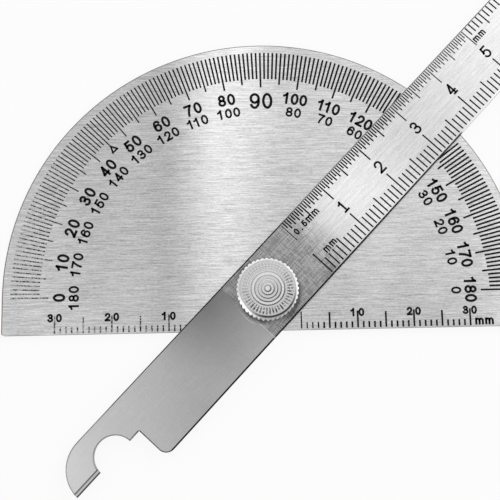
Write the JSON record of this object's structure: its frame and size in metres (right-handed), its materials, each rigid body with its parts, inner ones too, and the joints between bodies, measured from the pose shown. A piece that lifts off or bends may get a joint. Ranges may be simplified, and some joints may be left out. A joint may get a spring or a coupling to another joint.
{
  "type": "angle protractor",
  "caption": "Half-round steel protractor plate with degree and millimetre scales, a swinging ruler arm with a hooked tail, and a knurled lock nut on the pivot.",
  "frame": {"origin": "on the pivot axis, in the back face that lies on the bench", "axes": "+X along the straight base, +Y towards the 90-degree line, +Z out of the scale side"},
  "size_m": [0.1511, 0.143, 0.0077],
  "materials": {
    "dial_steel": "brushed along the base",
    "stud_steel": "turned",
    "washer_brass": "plain rolled sheet",
    "arm_steel": "brushed along its length",
    "washer_steel": "plain",
    "nut_steel": "turned and knurled, bright plated"
  },
  "bodies": {
    "dial": {"dial_plate": "dial_steel", "pivot_stud": "stud_steel", "friction_washer": "washer_brass"},
    "arm": {"ruler_arm": "arm_steel"},
    "nut_seat": {"thrust_washer": "washer_steel"},
    "nut": {"lock_nut": "nut_steel"}
  },
  "joints": [
    {"name": "arm_swing", "type": "hinge", "parent": "dial", "child": "arm", "pos_m": [0, 0, 0.00175], "axis": [0, 0, 1], "continuous": true},
    {"name": "nut_turn", "type": "hinge", "parent": "dial", "child": "nut_seat", "pos_m": [0, 0, 0.00265], "axis": [0, 0, 1], "range_deg": [0, 1080]},
    {"name": "nut_lift", "type": "slide", "parent": "nut_seat", "child": "nut", "axis": [0, 0, 1], "range_m": [0, 0.0021]}
  ],
  "couplings": [
    {"joint": "nut_turn", "follows": "nut_lift", "rad_per_m": 8976}
  ]
}
